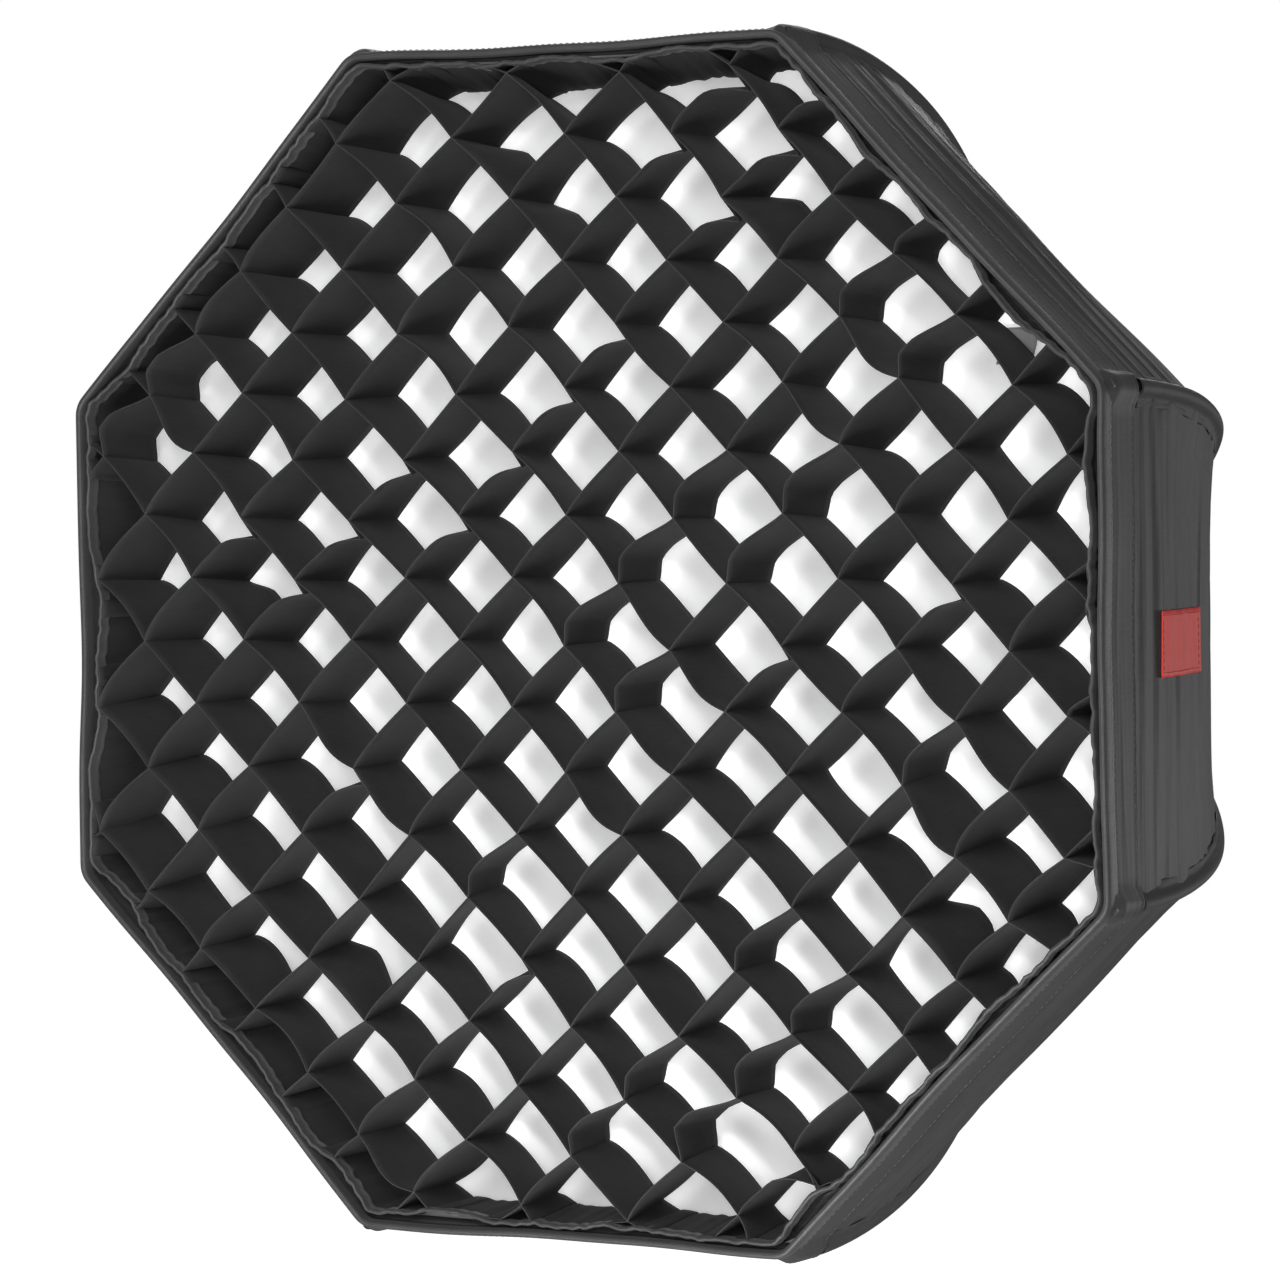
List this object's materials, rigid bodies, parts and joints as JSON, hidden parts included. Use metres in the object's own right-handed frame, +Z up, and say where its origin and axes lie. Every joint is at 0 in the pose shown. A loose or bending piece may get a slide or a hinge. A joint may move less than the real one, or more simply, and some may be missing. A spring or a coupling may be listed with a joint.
{
  "type": "octagonal softbox with honeycomb grid",
  "caption": "Deep octagonal softbox on a rotating speed ring, with a white front diffuser and a detachable honeycomb grid of interlocked fabric strips in its lip.",
  "frame": {"origin": "centre of the bayonet insert's seating plane, on the light's axis", "axes": "-Y is the way the light leaves through the grid, +Y points into the lamp head, +Z up when hung with two flats level"},
  "size_m": [0.678, 0.513, 0.678],
  "materials": {
    "insert_metal": "machined, satin",
    "ring_metal": "black powder coat",
    "socket_steel": "bright zinc",
    "rod_steel": "spring steel, satin",
    "cap_plastic": "moulded, matt",
    "shell_fabric": "coated woven polyester, black",
    "sleeve_fabric": "woven polyester, black, doubled",
    "binding_tape": "ribbed binding tape, black",
    "hook_and_loop": "hook-and-loop tape, black",
    "tag_red": "plain woven patch, red, with no lettering",
    "knob_plastic": "moulded, matt",
    "diffuser_fabric": "translucent white woven nylon",
    "grid_fabric": "dense woven polyester, black"
  },
  "bodies": {
    "mount": {"bayonet_insert": "insert_metal", "insert_retainer": "insert_metal"},
    "softbox": {"speed_ring": "ring_metal", "rod_sockets": "socket_steel", "rod_tip_caps": "cap_plastic", "rod_sleeves": "sleeve_fabric", "corner_pockets": "sleeve_fabric", "rim_binding": "binding_tape", "loop_tape": "hook_and_loop", "back_collar": "hook_and_loop", "maker_tag": "tag_red", "rod_1": "rod_steel", "rod_2": "rod_steel", "rod_3": "rod_steel", "rod_4": "rod_steel", "rod_5": "rod_steel", "rod_6": "rod_steel", "rod_7": "rod_steel", "rod_8": "rod_steel", "shell_panel_1": "shell_fabric", "shell_panel_2": "shell_fabric", "shell_panel_3": "shell_fabric", "shell_panel_4": "shell_fabric", "shell_panel_5": "shell_fabric", "shell_panel_6": "shell_fabric", "shell_panel_7": "shell_fabric", "shell_panel_8": "shell_fabric"},
    "lock_screw_1": {"lock_screw_1": "knob_plastic"},
    "lock_screw_2": {"lock_screw_2": "knob_plastic"},
    "diffuser": {"diffuser_sheet": "diffuser_fabric", "diffuser_hem": "diffuser_fabric"},
    "grid": {"grid_binding": "binding_tape", "grid_border": "grid_fabric", "grid_hook_tape": "hook_and_loop", "grid_strip_a_01": "grid_fabric", "grid_strip_a_02": "grid_fabric", "grid_strip_a_03": "grid_fabric", "grid_strip_a_04": "grid_fabric", "grid_strip_a_05": "grid_fabric", "grid_strip_a_06": "grid_fabric", "grid_strip_a_07": "grid_fabric", "grid_strip_a_08": "grid_fabric", "grid_strip_a_09": "grid_fabric", "grid_strip_a_10": "grid_fabric", "grid_strip_a_11": "grid_fabric", "grid_strip_a_12": "grid_fabric", "grid_strip_a_13": "grid_fabric", "grid_strip_b_01": "grid_fabric", "grid_strip_b_02": "grid_fabric", "grid_strip_b_03": "grid_fabric", "grid_strip_b_04": "grid_fabric", "grid_strip_b_05": "grid_fabric", "grid_strip_b_06": "grid_fabric", "grid_strip_b_07": "grid_fabric", "grid_strip_b_08": "grid_fabric", "grid_strip_b_09": "grid_fabric", "grid_strip_b_10": "grid_fabric", "grid_strip_b_11": "grid_fabric", "grid_strip_b_12": "grid_fabric", "grid_strip_b_13": "grid_fabric"}
  },
  "joints": [
    {"name": "box_rotation", "type": "hinge", "parent": "mount", "child": "softbox", "pos_m": [0, 0, 0], "axis": [0, 1, 0], "continuous": true},
    {"name": "lock_screw_1_turn", "type": "hinge", "parent": "softbox", "child": "lock_screw_1", "pos_m": [0, -0.007, 0.0975], "axis": [0, 0, 1], "range_deg": [0, 720]},
    {"name": "lock_screw_2_turn", "type": "hinge", "parent": "softbox", "child": "lock_screw_2", "pos_m": [0, -0.007, -0.0975], "axis": [0, 0, -1], "range_deg": [0, 720]},
    {"name": "diffuser_lift", "type": "slide", "parent": "softbox", "child": "diffuser", "axis": [0, -1, 0], "range_m": [0, 0.12]},
    {"name": "grid_lift", "type": "slide", "parent": "diffuser", "child": "grid", "axis": [0, -1, 0], "range_m": [0, 0.12]}
  ]
}
